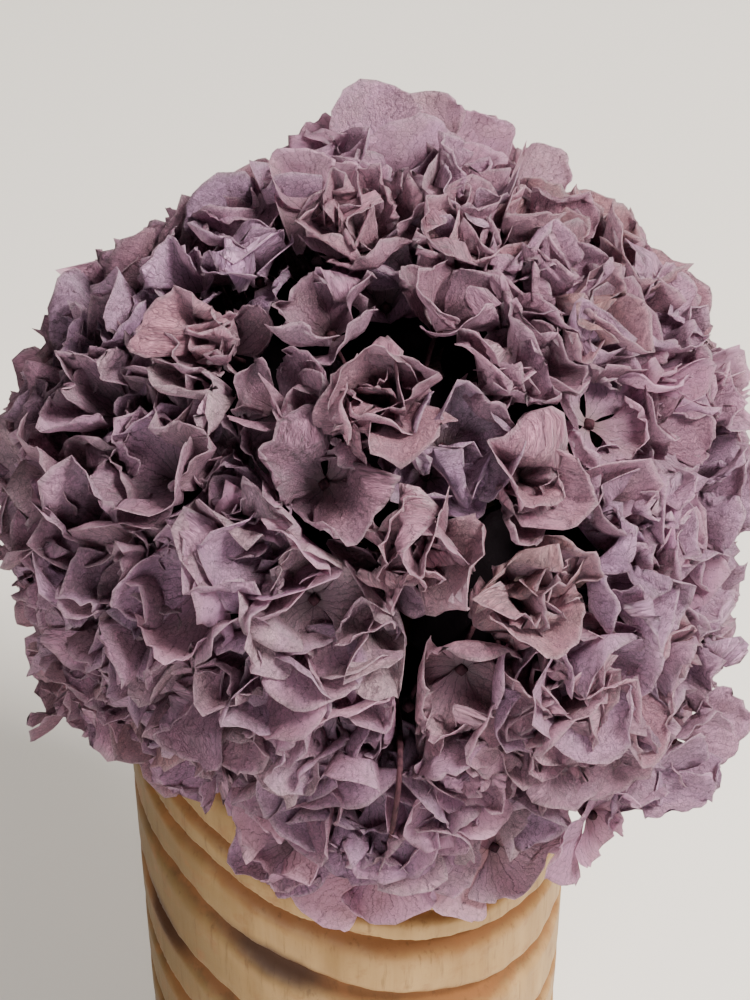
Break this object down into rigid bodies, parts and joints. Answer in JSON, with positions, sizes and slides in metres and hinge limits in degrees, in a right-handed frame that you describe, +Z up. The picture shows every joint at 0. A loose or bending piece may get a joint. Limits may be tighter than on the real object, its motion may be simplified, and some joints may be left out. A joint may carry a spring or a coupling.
{
  "type": "dried hydrangea in a jar",
  "caption": "One dried mauve hydrangea head with papery florets on a cut stem, standing in a carved wooden jar.",
  "frame": {"origin": "centre of the jar's flat foot, on the surface it stands on", "axes": "+Z up along the jar's axis, -Y towards the front that the picture shows, +X to its right"},
  "size_m": [0.208, 0.2096, 0.3434],
  "materials": {
    "carved_wood": "satin, worn and unpainted",
    "dry_stem": "matt dry bark",
    "dried_sepal": "papery, matt, finely veined"
  },
  "bodies": {
    "root": {"jar": "carved_wood", "stem": "dry_stem", "cyme_crown": "dried_sepal", "cyme_upper_left": "dried_sepal", "cyme_upper_right": "dried_sepal", "cyme_upper_front": "dried_sepal", "cyme_left": "dried_sepal", "cyme_right": "dried_sepal", "cyme_front_left": "dried_sepal", "cyme_front_right": "dried_sepal", "cyme_upper_back": "dried_sepal", "cyme_back_left": "dried_sepal", "cyme_back_right": "dried_sepal", "cyme_under_front": "dried_sepal", "cyme_under_left": "dried_sepal", "cyme_under_right": "dried_sepal", "cyme_under_back_left": "dried_sepal", "cyme_under_back_right": "dried_sepal"}
  },
  "joints": []
}
